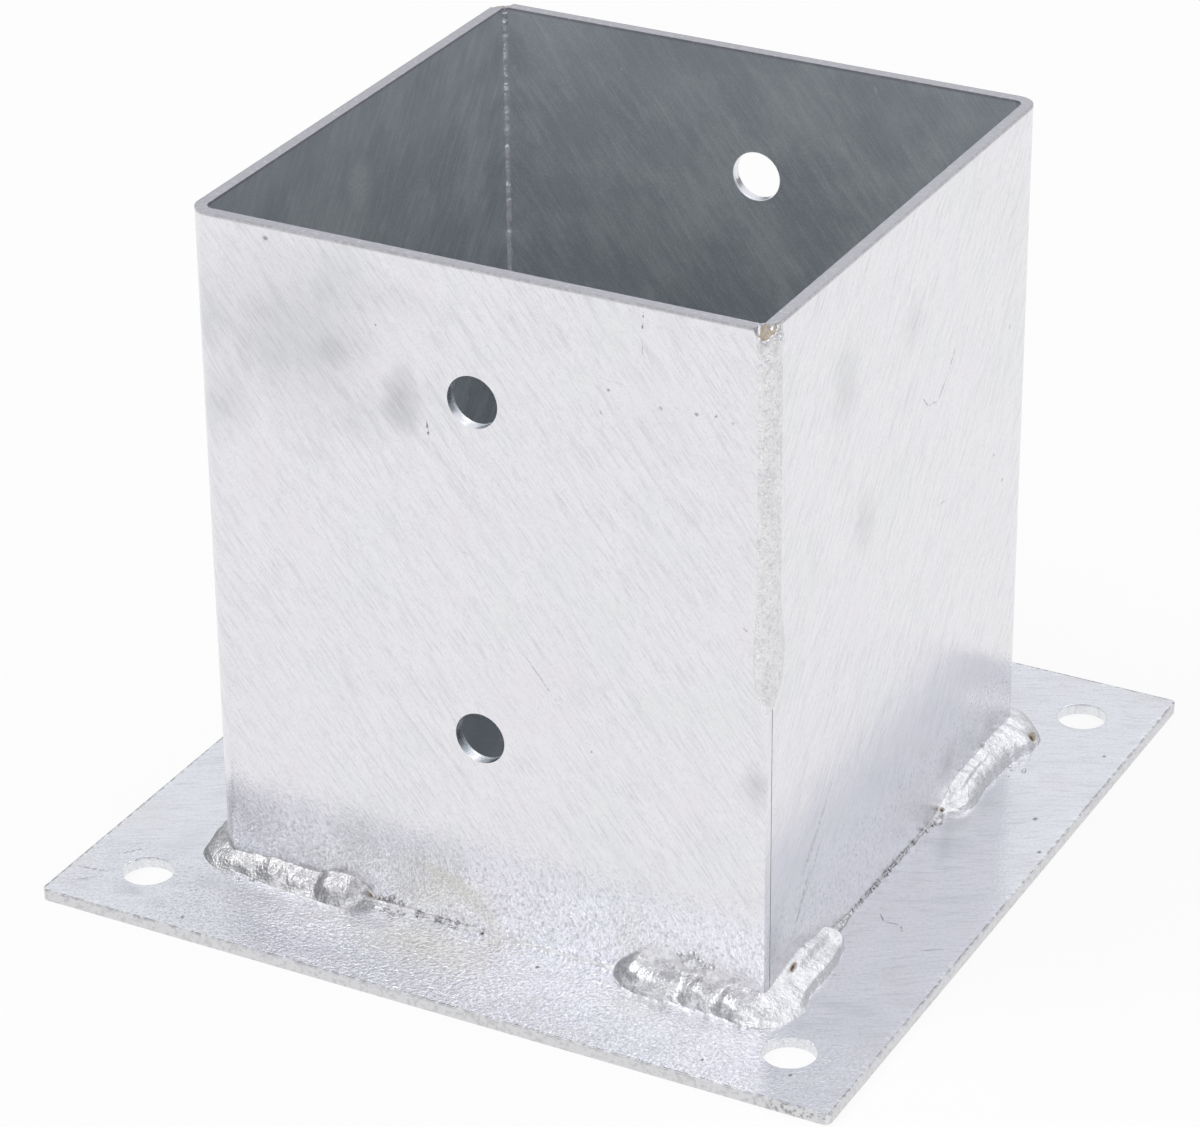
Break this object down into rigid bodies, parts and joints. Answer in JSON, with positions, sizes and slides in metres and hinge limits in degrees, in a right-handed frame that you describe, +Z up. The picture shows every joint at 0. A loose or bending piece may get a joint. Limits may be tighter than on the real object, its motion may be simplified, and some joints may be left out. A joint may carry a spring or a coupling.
{
  "type": "post base plate",
  "caption": "Welded galvanised post base: a square open-topped sleeve for a timber post on a thin square plate with anchor holes at its corners.",
  "frame": {"origin": "middle of the plate's underside", "axes": "+Z up out of the open sleeve; -Y is the outward side of the wall with bolt holes that faces the viewer, +X the plain wall to its right"},
  "size_m": [0.18, 0.18, 0.15],
  "materials": {
    "galvanised_sheet": "hot-dip galvanised sheet, streaked zinc",
    "galvanised_plate": "hot-dip galvanised plate, lightly scratched",
    "galvanised_weld": "galvanised weld bead, bright and lumpy"
  },
  "bodies": {
    "root": {"base_plate": "galvanised_plate", "sleeve_half_front": "galvanised_sheet", "sleeve_half_back": "galvanised_sheet", "seam_weld_front": "galvanised_weld", "seam_weld_back": "galvanised_weld", "corner_weld_front_left": "galvanised_weld", "corner_weld_front_right": "galvanised_weld", "corner_weld_back_right": "galvanised_weld", "corner_weld_back_left": "galvanised_weld"}
  },
  "joints": []
}
